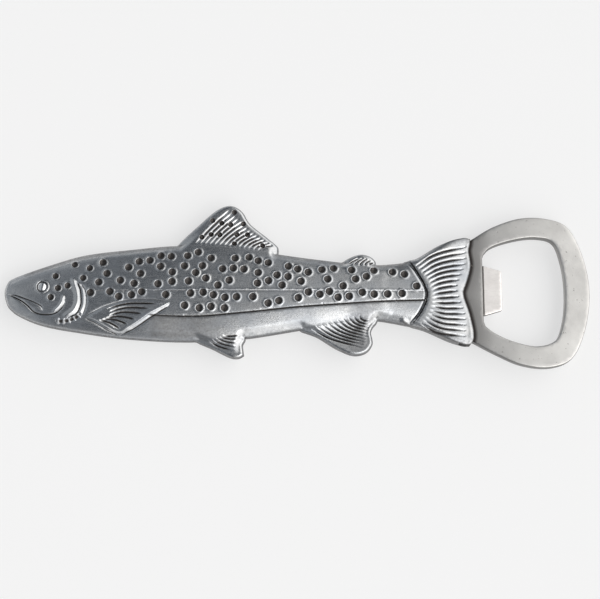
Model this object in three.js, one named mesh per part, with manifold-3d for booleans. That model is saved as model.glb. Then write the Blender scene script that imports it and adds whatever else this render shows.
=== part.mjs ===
// A souvenir bottle opener shaped as a trout, in millimetres.
//
// Two die-cast flanks meet on the fish's middle plane and grip the tang of a cast opener frame.
// A hard steel lip lies in a recess under the frame, and its shank runs back along the tang.
// Steel pins cross the tang, dowels line up the flanks, and a polished bead is set in each eye.
//
// Modelling frame: X is the station along the fish from the tip of its nose, Y is the height above
// its lateral line, and Z stands out of the middle plane. The last lines move the whole part so
// that it lies on Z = 0 with its box centred on X = Y = 0.
import * as THREE from "three";
import { mergeVertices } from "three/addons/utils/BufferGeometryUtils.js";
import Module from "manifold-3d";

// ---- driving dimensions ------------------------------------------------------------------------
const SEAM = 0.06; // half of the gap that is left between the two flanks
const CLEARANCE = 0.15; // between a piece and the pocket that it lies in
const WALL = 2.4; // of a flank, round its hollow
const CURVE_STEP = 1.8; // between the points of a smooth outline

const FRAME_THICKNESS = 3.6;
const FRAME_EDGE = 0.55; // rounding of the frame's edges
const LIP_THICKNESS = 1.75;
const LIP_EDGE = 0.25;
const TANG_END = 105; // station of the tang's round end
const TANG_HALF = 4.5;
const ROOT_START = 147.4; // station where the frame's full-width root begins, under the tail fin
const LIP_SHANK_END = 124;
const TANG_OVERLAP = 2; // how far the tang's own outline runs into the root
const ROOT_HIGH = 16.6;
const ROOT_LOW = -16.2;
const OPENING_START = 155.4; // station of the opening's straight edge, where the lip comes out
const OPENING_HIGH = 11; // heights where that straight edge ends
const OPENING_LOW = -10;

const BODY_START = 0.02; // stations of the first and last ring of the body
const BODY_STOP = 141;
const HOLLOW_START = 30;
const HOLLOW_STOP = 98;
const NOSE_ROUND = 1.8; // length over which the snout rounds off
const NOSE_HEIGHT = -0.4;
const NOSE_CROWN = 0.35; // share of the crown that is left at the tip of the snout
const NOSE_LEAST = 0.08; // share of the first ring's height
const FIN_HALF = 2.0; // half thickness of the small fins
const FIN_EDGE = 0.9; // rounding of the fins' edges
const TAIL_HALF = 3.3; // half thickness of the tail fin
const PECTORAL_HALF = 5.5;
const PECTORAL_EDGE = 0.4;

const PIN_RADIUS = 1.5;
const TANG_PINS = [
  { name: "tang_pin_fore", station: 112, half: 3.6 },
  { name: "tang_pin_aft", station: 129, half: 3.3 },
];
const DOWELS = [
  { name: "head_dowel", station: 21, height: -2.5, half: 3.1 },
  { name: "body_dowel", station: 84, height: -0.5, half: 3.9 },
];
const BOSS_RADIUS = 3.4;
const TANG_BOSS = { station: 99, height: 0 }; // boss in front of the tang, with no pin
const EYE = {
  station: 12.7,
  height: 1.1,
  radius: 1.5,
  side: 0.5, // of the bead, below its dome
  dome: 1.0,
  shank: 0.9, // its radius and its length
  shankLength: 1.2,
  socket: 2.05, // its radius
  seat: 2.5, // the socket's floor, from the middle plane
  holeDepth: 1.4,
};
const FAR = 200; // beyond the whole opener, for the cutters

// ---- outlines, as [station, height] ------------------------------------------------------------
const BACK_LINE = [
  [0, 3], [4, 5], [12, 8], [25, 12], [40, 14], [58, 15.5], [75, 14.5], [100, 11], [120, 9],
  [132, 10], [142, 12],
];
const BELLY_LINE = [
  [0, -4], [4, -7.5], [12, -11], [25, -13.5], [40, -15.5], [60, -16.5], [78, -15.5], [100, -12],
  [119, -9.5], [132, -11.5], [142, -13.5],
];
// The curved edge where the scales stop and the tail fin begins.
const SCALES_END = [[129.5, 12.5], [134, 6], [137, -1], [135, -7], [130, -13]];
// Half thickness of the body at the crown of its flank.
const CROWN_LINE = [
  [0, 2.5], [4, 3.5], [10, 4.2], [20, 4.8], [40, 5.4], [60, 5.6], [85, 5.4], [110, 4.9], [142, 4.3],
];
const DORSAL_FIN = [
  [54.5, 13], [56, 15.5], [62.5, 22], [69.5, 28], [73.5, 29], [77, 27], [79.5, 23], [86, 17.5],
  [89, 14.5], [88.5, 11.5], [72, 11],
];
const ADIPOSE_FIN = [
  [108.5, 8.5], [112.5, 11.5], [116.5, 12.5], [120, 11], [121, 8.5], [119, 6.5], [111, 6.5],
];
const PELVIC_FIN = [
  [60.5, -15], [68, -19], [75, -22], [78, -21], [77.5, -18], [78.5, -15.5], [77, -12.5],
  [66, -12.5],
];
const ANAL_FIN = [
  [95, -12], [101.5, -15], [108, -19], [113.5, -21], [117.5, -20], [119.5, -17], [119, -13],
  [121.5, -9], [118, -7], [100, -8.5],
];
const TAIL_FIN = [
  [128.5, 9], [134, 11], [141, 15], [148, 17.5], [151.5, 17.5], [151, 13.5], [151.5, 8.5],
  [150, 2.5], [149, -0.5], [151, -8], [152, -15], [151, -17.5], [147, -17], [137, -13],
  [128.5, -9.5], [126.5, 0],
];
const PECTORAL_FIN = [
  [27, -9], [33.5, -6], [41, -4], [49, -4], [54, -4.5], [48, -8], [42, -12], [38, -14],
  [33.5, -12], [30, -10],
];
const LOOP_OUTSIDE = [
  [151.5, 17], [159, 21.5], [168, 24.5], [176, 24.5], [183, 22], [187.5, 14], [190, 0],
  [187.5, -14.5], [183, -22.5], [176, -25], [167, -24], [159, -20.5], [151.5, -16.5],
];
const LOOP_INSIDE = [
  [156, -11.5], [158.5, -13.5], [165, -16.5], [173, -18], [178.5, -16], [181, -10], [182, 0],
  [181, 10], [178.5, 16.5], [173, 18], [165, 17], [158, 14.5], [156, 12.5],
];
const LIP_CENTRE = 0.6; // height of the lip's middle above the lateral line
const LIP_ROOT_HALF = 8.4;
const LIP_TIP_HALF = 6.7;
const LIP_TIP = 161.8;
const LIP_CORNER = 1.1;
const LIP_FLARE = 0.1; // how far a corner's curve runs past the lip's side
const LIP_SHOULDER = 151.6; // station where the lip widens from its shank

// ---- materials ---------------------------------------------------------------------------------
const metal = (color, roughness) =>
  new THREE.MeshStandardMaterial({ color, roughness, metalness: 1 });
const PEWTER = metal(0x83878b, 0.34);
const SATIN_CAST = metal(0xa09f9b, 0.45);
const LIP_STEEL = metal(0xbdb9b4, 0.32);
const PIN_STEEL = metal(0x9b9ea1, 0.4);
const BRIGHT = metal(0xd0d2d3, 0.15);

// ---- solids ------------------------------------------------------------------------------------
const wasm = await Module();
wasm.setup();

/** A closed three.js geometry as a manifold-3d solid. */
function solid(geometry) {
  const bare = geometry.index ? geometry.toNonIndexed() : geometry.clone();
  bare.deleteAttribute("normal");
  bare.deleteAttribute("uv");
  const merged = mergeVertices(bare, 1e-4);
  return new wasm.Manifold(
    new wasm.Mesh({
      numProp: 3,
      vertProperties: merged.attributes.position.array,
      triVerts: new Uint32Array(merged.index.array),
    }),
  );
}

/** A manifold-3d solid as a named three.js mesh. */
function mesh(name, body, material) {
  const { numProp, vertProperties, triVerts } = body.getMesh();
  const geometry = new THREE.BufferGeometry();
  const interleaved = new THREE.InterleavedBuffer(vertProperties, numProp);
  const position = new THREE.InterleavedBufferAttribute(interleaved, 3, 0);
  geometry.setAttribute("position", position);
  geometry.setIndex(new THREE.BufferAttribute(triVerts, 1));
  const plain = geometry.toNonIndexed();
  plain.computeVertexNormals();
  const made = new THREE.Mesh(plain, material);
  made.name = name;
  return made;
}

/** A box between two corners. */
function box(low, high) {
  const size = high.map((v, i) => v - low[i]);
  const geometry = new THREE.BoxGeometry(...size);
  return solid(geometry.translate(...low.map((v, i) => v + size[i] / 2)));
}

/** A round post along Z through [station, height], from z0 to z1. */
function post([station, height], radius, z0, z1, sides = 32) {
  const geometry = new THREE.CylinderGeometry(radius, radius, z1 - z0, sides);
  geometry.rotateX(Math.PI / 2).translate(station, height, (z0 + z1) / 2);
  return solid(geometry);
}

/** Points on a smooth curve through the given ones, spaced so far apart that an edge can be rounded. */
function smoothLine(points, closed = false, spacing = CURVE_STEP) {
  const through = points.map(([x, y]) => new THREE.Vector3(x, y, 0));
  const curve = new THREE.CatmullRomCurve3(through, closed, "centripetal");
  const along = curve.getSpacedPoints(Math.round(curve.getLength() / spacing));
  return along.map((p) => new THREE.Vector2(p.x, p.y));
}

/** A closed shape on a smooth curve through the points. */
function smoothShape(points) {
  return new THREE.Shape(smoothLine(points, true).slice(0, -1));
}

/** A plate of the shape from z0 to z1, with its edges rounded inside the outline. */
function plate(shape, z0, z1, edge = 0, steps = 2) {
  const options = { depth: z1 - z0 - 2 * edge, curveSegments: 10 };
  options.bevelEnabled = edge > 0;
  options.bevelThickness = edge;
  options.bevelSize = edge;
  options.bevelOffset = -edge;
  options.bevelSegments = steps;
  const geometry = new THREE.ExtrudeGeometry(shape, options);
  return solid(geometry.translate(0, 0, z0 + edge));
}

/** The smooth line through the points as a function of station (cubic Hermite). */
function profile(points) {
  const slope = points.map((_, i) => {
    const a = points[Math.max(0, i - 1)];
    const b = points[Math.min(points.length - 1, i + 1)];
    return (b[1] - a[1]) / (b[0] - a[0]);
  });
  return (s) => {
    let i = points.findIndex((p) => p[0] > s) - 1;
    if (i < 0) i = s <= points[0][0] ? 0 : points.length - 2;
    const [x0, y0] = points[i];
    const [x1, y1] = points[i + 1];
    const w = x1 - x0;
    const t = (s - x0) / w;
    const t2 = t * t;
    const t3 = t2 * t;
    return (2 * t3 - 3 * t2 + 1) * y0 + (t3 - 2 * t2 + t) * w * slope[i]
      + (3 * t2 - 2 * t3) * y1 + (t3 - t2) * w * slope[i + 1];
  };
}

const backAt = profile(BACK_LINE);
const bellyAt = profile(BELLY_LINE);
const crownAt = profile(CROWN_LINE);

// ---- the fish ----------------------------------------------------------------------------------
const SECTION_POINTS = 40;
const DOME_POWER = 0.72; // under 1, so that the flank is flatter than an ellipse
const EDGE_POWER = 0.9;

/** One ring of the body at a station, shrunk by a wall where a hollow is wanted. */
function ring(station, wall) {
  const near = Math.min(1, station / NOSE_ROUND);
  const blunt = wall ? 1 : Math.max(NOSE_LEAST, Math.sqrt(1 - (1 - near) ** 2));
  const top = NOSE_HEIGHT + (backAt(station) - NOSE_HEIGHT) * blunt - wall;
  const bottom = NOSE_HEIGHT + (bellyAt(station) - NOSE_HEIGHT) * blunt + wall;
  const crown = crownAt(station) * (NOSE_CROWN + (1 - NOSE_CROWN) * blunt) - wall;
  const points = [];
  for (let k = 0; k < SECTION_POINTS; k++) {
    const angle = (2 * Math.PI * k) / SECTION_POINTS;
    const c = Math.cos(angle);
    const s = Math.sin(angle);
    const y = Math.sign(c) * Math.abs(c) ** EDGE_POWER;
    const z = Math.sign(s) * Math.abs(s) ** DOME_POWER;
    points.push([station, (top + bottom) / 2 + (y * (top - bottom)) / 2, z * crown]);
  }
  return points;
}

/** A closed solid through the rings at these stations. */
function loft(stations, wall = 0) {
  const rings = stations.map((s) => ring(s, wall));
  const n = SECTION_POINTS;
  const last = rings.length - 1;
  const positions = rings.flat(2);
  const index = [];
  for (let i = 0; i < last; i++) {
    for (let k = 0; k < n; k++) {
      const a = i * n + k;
      const b = i * n + ((k + 1) % n);
      index.push(a, b, a + n, b, b + n, a + n);
    }
  }
  for (let k = 1; k < n - 1; k++) {
    index.push(0, k + 1, k, last * n, last * n + k, last * n + k + 1);
  }
  const geometry = new THREE.BufferGeometry();
  geometry.setAttribute("position", new THREE.Float32BufferAttribute(positions, 3));
  geometry.setIndex(index);
  return solid(geometry);
}

/** Stations from one end to the other, closer together at the snout. */
function stations(from, to, count, bunch = 1) {
  return Array.from({ length: count + 1 }, (_, i) => from + (to - from) * (i / count) ** bunch);
}

/** All that lies on the body's side of the edge where the scales stop. */
function bodySide() {
  const edge = smoothLine(SCALES_END);
  const above = [new THREE.Vector2(-FAR, FAR), new THREE.Vector2(edge[0].x, FAR)];
  const below = [new THREE.Vector2(edge.at(-1).x, -FAR), new THREE.Vector2(-FAR, -FAR)];
  return plate(new THREE.Shape([...above, ...edge, ...below]), -FAR, FAR);
}

/** Whole fish, both flanks in one, before it is parted on its middle plane. */
function fishPattern() {
  const body = loft(stations(BODY_START, BODY_STOP, 44, 1.5)).intersect(bodySide());
  const fins = [DORSAL_FIN, ADIPOSE_FIN, PELVIC_FIN, ANAL_FIN].map((outline) =>
    plate(smoothShape(outline), -FIN_HALF, FIN_HALF, FIN_EDGE));
  const tail = plate(smoothShape(TAIL_FIN), -TAIL_HALF, TAIL_HALF, FIN_EDGE);
  const pectoral = plate(smoothShape(PECTORAL_FIN), -PECTORAL_HALF, PECTORAL_HALF, PECTORAL_EDGE);
  return [...fins, tail, pectoral].reduce((whole, piece) => whole.add(piece), body);
}

/** What is taken out of both flanks: the tang's pocket, the hollow and the pin holes. */
function pockets() {
  const deep = FRAME_THICKNESS / 2 + CLEARANCE;
  const tang = plate(tangShape(CLEARANCE), -deep, deep);
  const root = box([ROOT_START - CLEARANCE, -FAR, -deep], [FAR, FAR, deep]);
  const bosses = [...DOWELS, TANG_BOSS].map(({ station, height }) =>
    post([station, height], BOSS_RADIUS, -FAR, FAR));
  const hollow = bosses.reduce(
    (open, boss) => open.subtract(boss), loft(stations(HOLLOW_START, HOLLOW_STOP, 20), WALL),
  );
  const holes = [...TANG_PINS, ...DOWELS].map(({ station, height = 0, half }) =>
    post([station, height], PIN_RADIUS + CLEARANCE, -half - CLEARANCE, half + CLEARANCE));
  return [root, hollow, ...holes].reduce((all, piece) => all.add(piece), tang);
}

/** The round socket of one eye, with the hole for the bead's shank, on the side of the sign. */
function eyeSocket(side) {
  const at = [EYE.station, EYE.height];
  const seat = side * EYE.seat;
  const outside = side * FAR;
  const socket = post(at, EYE.socket, Math.min(seat, outside), Math.max(seat, outside));
  const deep = side * (EYE.seat - EYE.holeDepth);
  const hole = post(at, EYE.shank + CLEARANCE, Math.min(deep, seat), Math.max(deep, seat));
  return socket.add(hole);
}

function flank(name, side) {
  const upper = box([-FAR, -FAR, SEAM], [FAR, FAR, FAR]);
  const half = side > 0 ? upper : upper.mirror([0, 0, 1]);
  const body = fishPattern().intersect(half).subtract(pockets()).subtract(eyeSocket(side));
  return mesh(name, body, PEWTER);
}

/** A polished bead with a round shank, pressed into the eye socket. */
function eye(name, side) {
  const { radius, shank, shankLength } = EYE;
  const steps = 10;
  const outline = [[0, -shankLength], [shank, -shankLength], [shank, CLEARANCE], [radius, CLEARANCE]];
  for (let k = 0; k <= steps; k++) {
    const angle = (k / steps) * (Math.PI / 2);
    const along = CLEARANCE + EYE.side + EYE.dome * Math.sin(angle);
    outline.push([k === steps ? 0 : radius * Math.cos(angle), along]);
  }
  const geometry = new THREE.LatheGeometry(outline.map(([x, y]) => new THREE.Vector2(x, y)), 28);
  geometry.rotateX((side * Math.PI) / 2);
  geometry.translate(EYE.station, EYE.height, side * EYE.seat);
  return mesh(name, solid(geometry), BRIGHT);
}

// ---- the opener --------------------------------------------------------------------------------
/** The tang's outline, from its round end to the frame's root, grown by a clearance. */
function tangShape(grow = 0) {
  const half = TANG_HALF + grow;
  const shape = new THREE.Shape();
  shape.moveTo(ROOT_START + TANG_OVERLAP, -half);
  shape.lineTo(ROOT_START + TANG_OVERLAP, half);
  shape.lineTo(TANG_END + TANG_HALF, half);
  shape.absarc(TANG_END + TANG_HALF, 0, half, Math.PI / 2, (3 * Math.PI) / 2);
  return shape;
}

/** The lip's outline: a tapered tongue with round corners, shoulders, and a long shank. */
function lipShape(grow = 0) {
  const c = LIP_CENTRE;
  const root = LIP_ROOT_HALF + grow;
  const tip = LIP_TIP_HALF + grow;
  const half = TANG_HALF + grow;
  const shoulder = LIP_SHOULDER - grow;
  const end = LIP_SHANK_END - grow;
  const shape = new THREE.Shape();
  shape.moveTo(end, -half);
  shape.lineTo(shoulder, -half);
  shape.lineTo(shoulder, c - root);
  shape.lineTo(OPENING_START, c - root);
  shape.lineTo(LIP_TIP - LIP_CORNER, c - tip - LIP_FLARE);
  shape.quadraticCurveTo(LIP_TIP, c - tip + LIP_FLARE, LIP_TIP, c - tip + LIP_CORNER);
  shape.lineTo(LIP_TIP, c + tip - LIP_CORNER);
  shape.quadraticCurveTo(LIP_TIP, c + tip - LIP_FLARE, LIP_TIP - LIP_CORNER, c + tip + LIP_FLARE);
  shape.lineTo(OPENING_START, c + root);
  shape.lineTo(shoulder, c + root);
  shape.lineTo(shoulder, half);
  shape.lineTo(end, half);
  return shape;
}

/** The opener frame: a loop, a root that the tail fin covers, and the tang. */
function openerFrame() {
  const t = FRAME_THICKNESS / 2;
  const outside = smoothLine(LOOP_OUTSIDE);
  const root = [ROOT_LOW, -TANG_HALF, TANG_HALF, ROOT_HIGH].map((y) => new THREE.Vector2(ROOT_START, y));
  const loop = new THREE.Shape([...outside, ...root]);
  const straight = [OPENING_HIGH, OPENING_LOW].map((y) => new THREE.Vector2(OPENING_START, y));
  loop.holes.push(new THREE.Path([...straight, ...smoothLine(LOOP_INSIDE)]));
  const tang = plate(tangShape(), -t, t);
  const recess = plate(lipShape(CLEARANCE), -FAR, -t + LIP_THICKNESS + CLEARANCE);
  const holes = TANG_PINS.map(({ station }) =>
    post([station, 0], PIN_RADIUS + CLEARANCE, -FAR, FAR));
  const body = holes.reduce(
    (open, hole) => open.subtract(hole), plate(loop, -t, t, FRAME_EDGE, 3).add(tang).subtract(recess),
  );
  return mesh("opener_frame", body, SATIN_CAST);
}

/** The hard steel lip that catches the cap's skirt. */
function capLip() {
  const z0 = -FRAME_THICKNESS / 2;
  const hole = post([TANG_PINS[1].station, 0], PIN_RADIUS + CLEARANCE, -FAR, FAR);
  const body = plate(lipShape(), z0, z0 + LIP_THICKNESS, LIP_EDGE, 2).subtract(hole);
  return mesh("cap_lip", body, LIP_STEEL);
}

/** A steel pin along Z with chamfered ends. */
function pin({ name, station, height = 0, half }) {
  const chamfer = 0.4;
  const outline = [[0, -half], [PIN_RADIUS - chamfer, -half], [PIN_RADIUS, chamfer - half],
    [PIN_RADIUS, half - chamfer], [PIN_RADIUS - chamfer, half], [0, half]];
  const geometry = new THREE.LatheGeometry(outline.map(([x, y]) => new THREE.Vector2(x, y)), 32);
  geometry.rotateX(Math.PI / 2).translate(station, height, 0);
  return mesh(name, solid(geometry), PIN_STEEL);
}

// ---- assembly ----------------------------------------------------------------------------------
const opener = new THREE.Group();
opener.add(flank("front_flank", 1), flank("back_flank", -1));
opener.add(openerFrame(), capLip());
opener.add(...TANG_PINS.map(pin), ...DOWELS.map(pin));
opener.add(eye("front_eye", 1), eye("back_eye", -1));

const bounds = new THREE.Box3().setFromObject(opener);
const middle = bounds.getCenter(new THREE.Vector3());
opener.position.set(-middle.x, -middle.y, -bounds.min.z);

export default opener;
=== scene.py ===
"""A souvenir bottle opener shaped as a trout: its looks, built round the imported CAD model.

Shapes are in millimetres in the fish's own frame: the station along it from the nose, the height
above its lateral line, and z out of its middle plane. place() turns them into metres in the CAD
model's frame, from where the CAD nodes lie.
"""

import math

import bpy
import numpy as np
from mathutils import Matrix, Vector, kdtree
from mathutils.geometry import delaunay_2d_cdt


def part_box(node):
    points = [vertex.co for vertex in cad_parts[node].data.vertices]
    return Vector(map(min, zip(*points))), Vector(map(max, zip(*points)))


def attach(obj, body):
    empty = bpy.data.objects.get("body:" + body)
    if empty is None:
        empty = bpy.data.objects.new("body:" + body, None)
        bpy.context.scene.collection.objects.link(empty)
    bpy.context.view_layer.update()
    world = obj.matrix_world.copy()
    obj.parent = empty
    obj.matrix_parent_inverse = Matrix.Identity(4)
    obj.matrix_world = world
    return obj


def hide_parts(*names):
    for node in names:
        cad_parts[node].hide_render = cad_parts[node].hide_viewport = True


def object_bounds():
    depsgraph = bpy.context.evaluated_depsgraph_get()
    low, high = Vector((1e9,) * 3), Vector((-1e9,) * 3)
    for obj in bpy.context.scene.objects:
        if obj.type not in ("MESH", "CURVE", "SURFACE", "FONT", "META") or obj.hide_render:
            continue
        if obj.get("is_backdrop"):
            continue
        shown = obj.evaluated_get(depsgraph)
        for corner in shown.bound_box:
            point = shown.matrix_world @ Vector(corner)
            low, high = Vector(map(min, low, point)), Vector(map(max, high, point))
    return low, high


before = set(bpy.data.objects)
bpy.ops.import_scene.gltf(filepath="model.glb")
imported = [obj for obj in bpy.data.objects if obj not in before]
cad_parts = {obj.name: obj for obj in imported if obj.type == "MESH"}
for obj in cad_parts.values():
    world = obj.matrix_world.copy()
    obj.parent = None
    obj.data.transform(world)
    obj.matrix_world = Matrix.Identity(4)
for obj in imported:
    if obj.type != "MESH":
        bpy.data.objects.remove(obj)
CAD_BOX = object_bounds()
BODY = "root"
MM = 0.001

# ---- the fish's own frame, found from the CAD nodes ----
flank_low, flank_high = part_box("front_flank")
opener_low, opener_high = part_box("opener_frame")
pin_low, pin_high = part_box("tang_pin_fore")
NOSE = Vector((flank_low.x, (pin_low.y + pin_high.y) / 2, (opener_low.z + opener_high.z) / 2))


def place(points):
    """Points in the fish's frame, in millimetres, as metres in the CAD model's frame."""
    return np.asarray(points, float) * MM + np.array(NOSE)


def station_height(point):
    """A point of the CAD model as its station and height in millimetres."""
    return np.array([point.x - NOSE.x, point.y - NOSE.y]) / MM


# ---- camera ----
LENS_MM = 85
SENSOR_MM = 36
VIEW_WIDTH = 0.1952  # what the picture spans across, at the distance of the aim
CLIP_START = 0.01
ELEVATION = math.radians(78)
AIM = Vector((0.001, -0.0043, NOSE.z))


def make_camera():
    distance = VIEW_WIDTH * LENS_MM / SENSOR_MM
    away = Vector((0, -math.cos(ELEVATION), math.sin(ELEVATION)))
    data = bpy.data.cameras.new("camera")
    data.lens = LENS_MM
    data.sensor_width = SENSOR_MM
    data.clip_start = CLIP_START
    camera = add("camera", data)
    camera.location = AIM + away * distance
    camera.rotation_euler = (-away).to_track_quat("-Z", "Y").to_euler()
    bpy.context.scene.camera = camera


def add(name, data):
    """A new object in the scene."""
    obj = bpy.data.objects.new(name, data)
    bpy.context.scene.collection.objects.link(obj)
    return obj


make_camera()

# ---- curves ----
TINY = 1e-12  # keeps a division by a squared length safe


def between(t, t0, p0, t1, p1):
    """The point at t on the straight run from p0 at t0 to p1 at t1."""
    return (t1 - t) / (t1 - t0) * p0 + (t - t0) / (t1 - t0) * p1


def smooth(points, step):
    """A centripetal Catmull-Rom curve through the points, sampled about every step."""
    p = np.asarray(points, float)
    p = np.vstack([2 * p[0] - p[1], p, 2 * p[-1] - p[-2]])
    made = [p[1]]
    for p0, p1, p2, p3 in zip(p, p[1:], p[2:], p[3:]):
        steps = [np.linalg.norm(b - a) ** 0.5 for a, b in ((p0, p1), (p1, p2), (p2, p3))]
        t1, t2, t3 = np.cumsum(steps)
        count = max(1, round(np.linalg.norm(p2 - p1) / step))
        for t in np.linspace(t1, t2, count + 1)[1:]:
            a1 = between(t, 0, p0, t1, p1)
            a2 = between(t, t1, p1, t2, p2)
            a3 = between(t, t2, p2, t3, p3)
            b1 = between(t, 0, a1, t2, a2)
            b2 = between(t, t1, a2, t3, a3)
            made.append(between(t, t1, b1, t2, b2))
    return np.array(made)


def profile(points):
    """The smooth line through the points as a function of station, the same one as in the CAD."""
    x, y = np.array(points, float).T
    inner = (y[2:] - y[:-2]) / (x[2:] - x[:-2])
    first = (y[1] - y[0]) / (x[1] - x[0])
    last = (y[-1] - y[-2]) / (x[-1] - x[-2])
    slope = np.concatenate([[first], inner, [last]])

    def at(s):
        i = np.clip(np.searchsorted(x, s, side="right") - 1, 0, len(x) - 2)
        w = x[i + 1] - x[i]
        t = (s - x[i]) / w
        start = (2 * t**3 - 3 * t**2 + 1) * y[i] + (t**3 - 2 * t**2 + t) * w * slope[i]
        return start + (3 * t**2 - 2 * t**3) * y[i + 1] + (t**3 - t**2) * w * slope[i + 1]

    return at


def step_up(a, b, x):
    """0 at a and before it, 1 at b and past it, smooth between."""
    t = np.clip((x - a) / (b - a), 0, 1)
    return t * t * (3 - 2 * t)


def quarter_round(x):
    """0 at 0, rising as a quarter circle to 1 at 1."""
    return np.sqrt(1 - (1 - np.clip(x, 0, 1)) ** 2)


def bell(x, width):
    """1 at 0, falling off to both sides over about the width."""
    return np.exp(-((x / width) ** 2))


def soft_max(a, b, k):
    """The larger of two heights, with a fillet of about k where they cross."""
    t = np.clip(0.5 + 0.5 * (a - b) / k, 0, 1)
    return b + (a - b) * t + k * t * (1 - t)


def to_line(points, line):
    """For each point, its distance from a polyline and how far along that it lies, 0 to 1."""
    a = line[:-1]
    span = line[1:] - a
    length = np.linalg.norm(span, axis=1)
    before = np.concatenate([[0], np.cumsum(length)])
    offset = points[:, None, :] - a[None]
    t = np.clip((offset * span).sum(2) / np.maximum(length**2, TINY), 0, 1)
    gap = np.linalg.norm(offset - t[..., None] * span, axis=2)
    best = gap.argmin(1)
    row = np.arange(len(points))
    along = (before[best] + t[row, best] * length[best]) / before[-1]
    return gap[row, best], along


def gap_to(points, line):
    """Each point's distance from a polyline."""
    return to_line(points, line)[0]


def inside(points, loop):
    """Which points lie inside a closed loop."""
    x, y = points.T
    found = np.zeros(len(points), bool)
    for (x0, y0), (x1, y1) in zip(loop, np.roll(loop, -1, axis=0)):
        if y0 == y1:
            continue
        crosses = (y0 > y) != (y1 > y)
        found ^= crosses & (x < x0 + (y - y0) * (x1 - x0) / (y1 - y0))
    return found


def cross(a, b):
    return a[:, 0] * b[:, 1] - a[:, 1] * b[:, 0]


def signed_area(loop):
    return 0.5 * cross(loop, np.roll(loop, -1, axis=0)).sum()


# ---- the outline of the fish, from the CAD flank ----
CORNER = math.radians(40)
MERGE = 0.5  # outline points closer than this are one point
OUTLINE_STEP = 0.4
PER_MM = 1e3  # CAD vertices that round to the same thousandth of a millimetre are one
UPWARD = 0.02  # least Z of the normal of an upward face


def upward_outline(node):
    """The longest edge loop of a node's upward faces, as stations and heights."""
    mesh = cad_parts[node].data
    keys = [tuple(round(c / MM * PER_MM) for c in v.co) for v in mesh.vertices]
    corner = {}
    for key, v in zip(keys, mesh.vertices):
        corner.setdefault(key, v.co)
    rings = [[keys[i] for i in face.vertices] for face in mesh.polygons if face.normal.z >= UPWARD]
    edges = dict.fromkeys(edge for ring in rings for edge in zip(ring, ring[1:] + ring[:1]))
    follows = {}
    for a, b in edges:
        if (b, a) not in edges:
            follows.setdefault(a, []).append(b)
    best = []
    while follows:
        here = start = next(iter(follows))
        loop = [start]
        while here in follows:
            there = follows[here].pop()
            if not follows[here]:
                del follows[here]
            if there == start:
                break
            loop.append(there)
            here = there
        best = max(best, loop, key=len)
    return np.array([station_height(corner[key]) for key in best])


def smooth_loop(points, step):
    """A closed loop made smooth between its corners."""
    kept = [points[0]]
    for p in points[1:]:
        if np.linalg.norm(p - kept[-1]) > MERGE:
            kept.append(p)
    if np.linalg.norm(kept[0] - kept[-1]) < MERGE:
        kept.pop()
    p = np.array(kept)
    ahead = np.roll(p, -1, axis=0) - p
    behind = p - np.roll(p, 1, axis=0)
    turn = np.abs(np.arctan2(cross(behind, ahead), (behind * ahead).sum(1)))
    corners = np.flatnonzero(turn > CORNER)
    made = []
    for a, b in zip(corners, np.roll(corners, -1)):
        run = np.arange(a, b + 1 if b > a else b + 1 + len(p)) % len(p)
        made.extend(smooth(p[run], step)[:-1])
    return np.array(made)


OUTLINE = smooth_loop(upward_outline("front_flank"), OUTLINE_STEP)
INWARD = 1 if signed_area(OUTLINE) > 0 else -1  # 1 where the fish lies left of its outline

TAIL_START = 128
TRAILING_START = 148
TRAILING_HALF = 16.5


def tail_edges():
    """The upper and the lower edge of the tail, without its trailing edge."""
    s, h = OUTLINE.T
    trailing = (s > TRAILING_START) & (np.abs(h) < TRAILING_HALF)
    sides = (s > TAIL_START) & ~trailing
    edges = (OUTLINE[sides & (h > 0)], OUTLINE[sides & (h < 0)])
    return [edge[edge[:, 0].argsort()] for edge in edges]


TAIL_EDGES = tail_edges()


def outline_gap(points):
    """Each point's distance from the outline."""
    tree = kdtree.KDTree(len(OUTLINE))
    for i, p in enumerate(OUTLINE):
        tree.insert((*p, 0), i)
    tree.balance()
    nearest = np.array([tree.find((*p, 0))[1] for p in points], int)
    least = np.full(len(points), np.inf)
    for shift in (-1, 0):
        a = OUTLINE[(nearest + shift) % len(OUTLINE)]
        span = OUTLINE[(nearest + shift + 1) % len(OUTLINE)] - a
        t = np.clip(((points - a) * span).sum(1) / np.maximum((span**2).sum(1), TINY), 0, 1)
        least = np.minimum(least, np.linalg.norm(points - a - t[:, None] * span, axis=1))
    return least


# ---- relief of the flank, in millimetres ----
BACK_LINE = profile([(0, 3), (4, 5), (12, 8), (25, 12), (40, 14), (58, 15.5), (75, 14.5),
                     (100, 11), (120, 9), (132, 10), (142, 12)])
BELLY_LINE = profile([(0, -4), (4, -7.5), (12, -11), (25, -13.5), (40, -15.5), (60, -16.5),
                      (78, -15.5), (100, -12), (119, -9.5), (132, -11.5), (142, -13.5)])
CROWN_LINE = profile([(0, 2.5), (4, 3.5), (10, 4.2), (20, 4.8), (40, 5.4), (60, 5.6), (85, 5.4),
                      (110, 4.9), (142, 4.3)])
NOSE_ROUND = 1.8
NOSE_HEIGHT = -0.4
CROWN_SHARE = 0.9  # of the CAD's crown, which leaves room for the relief that stands on it
HIGHEST = (flank_high.z - NOSE.z) / MM - 0.02  # the relief stays inside the CAD flank
SEAM = 0.06  # half of the gap between the two flanks
FIN_TOP = 1.9
FIN_ROOT_RISE = 1.1
FIN_ROOT_REACH = 2.5
TAIL_TOP = 3.25
TAIL_ROLL = 0.8
FIN_ROUND = 1.1
TAIL_ROUND = 2.2  # of the tail's upper and lower edges
FIN_FILLET = 1.2
LEAST_FILLET = 0.35
LEAST = 0.3  # least height of the flank's side wall
BODY_END = smooth([(129.5, 12.5), (134, 6), (137, -1), (135, -7), (130, -13)], 0.3)
BODY_END_ROUND = 0.9
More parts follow.
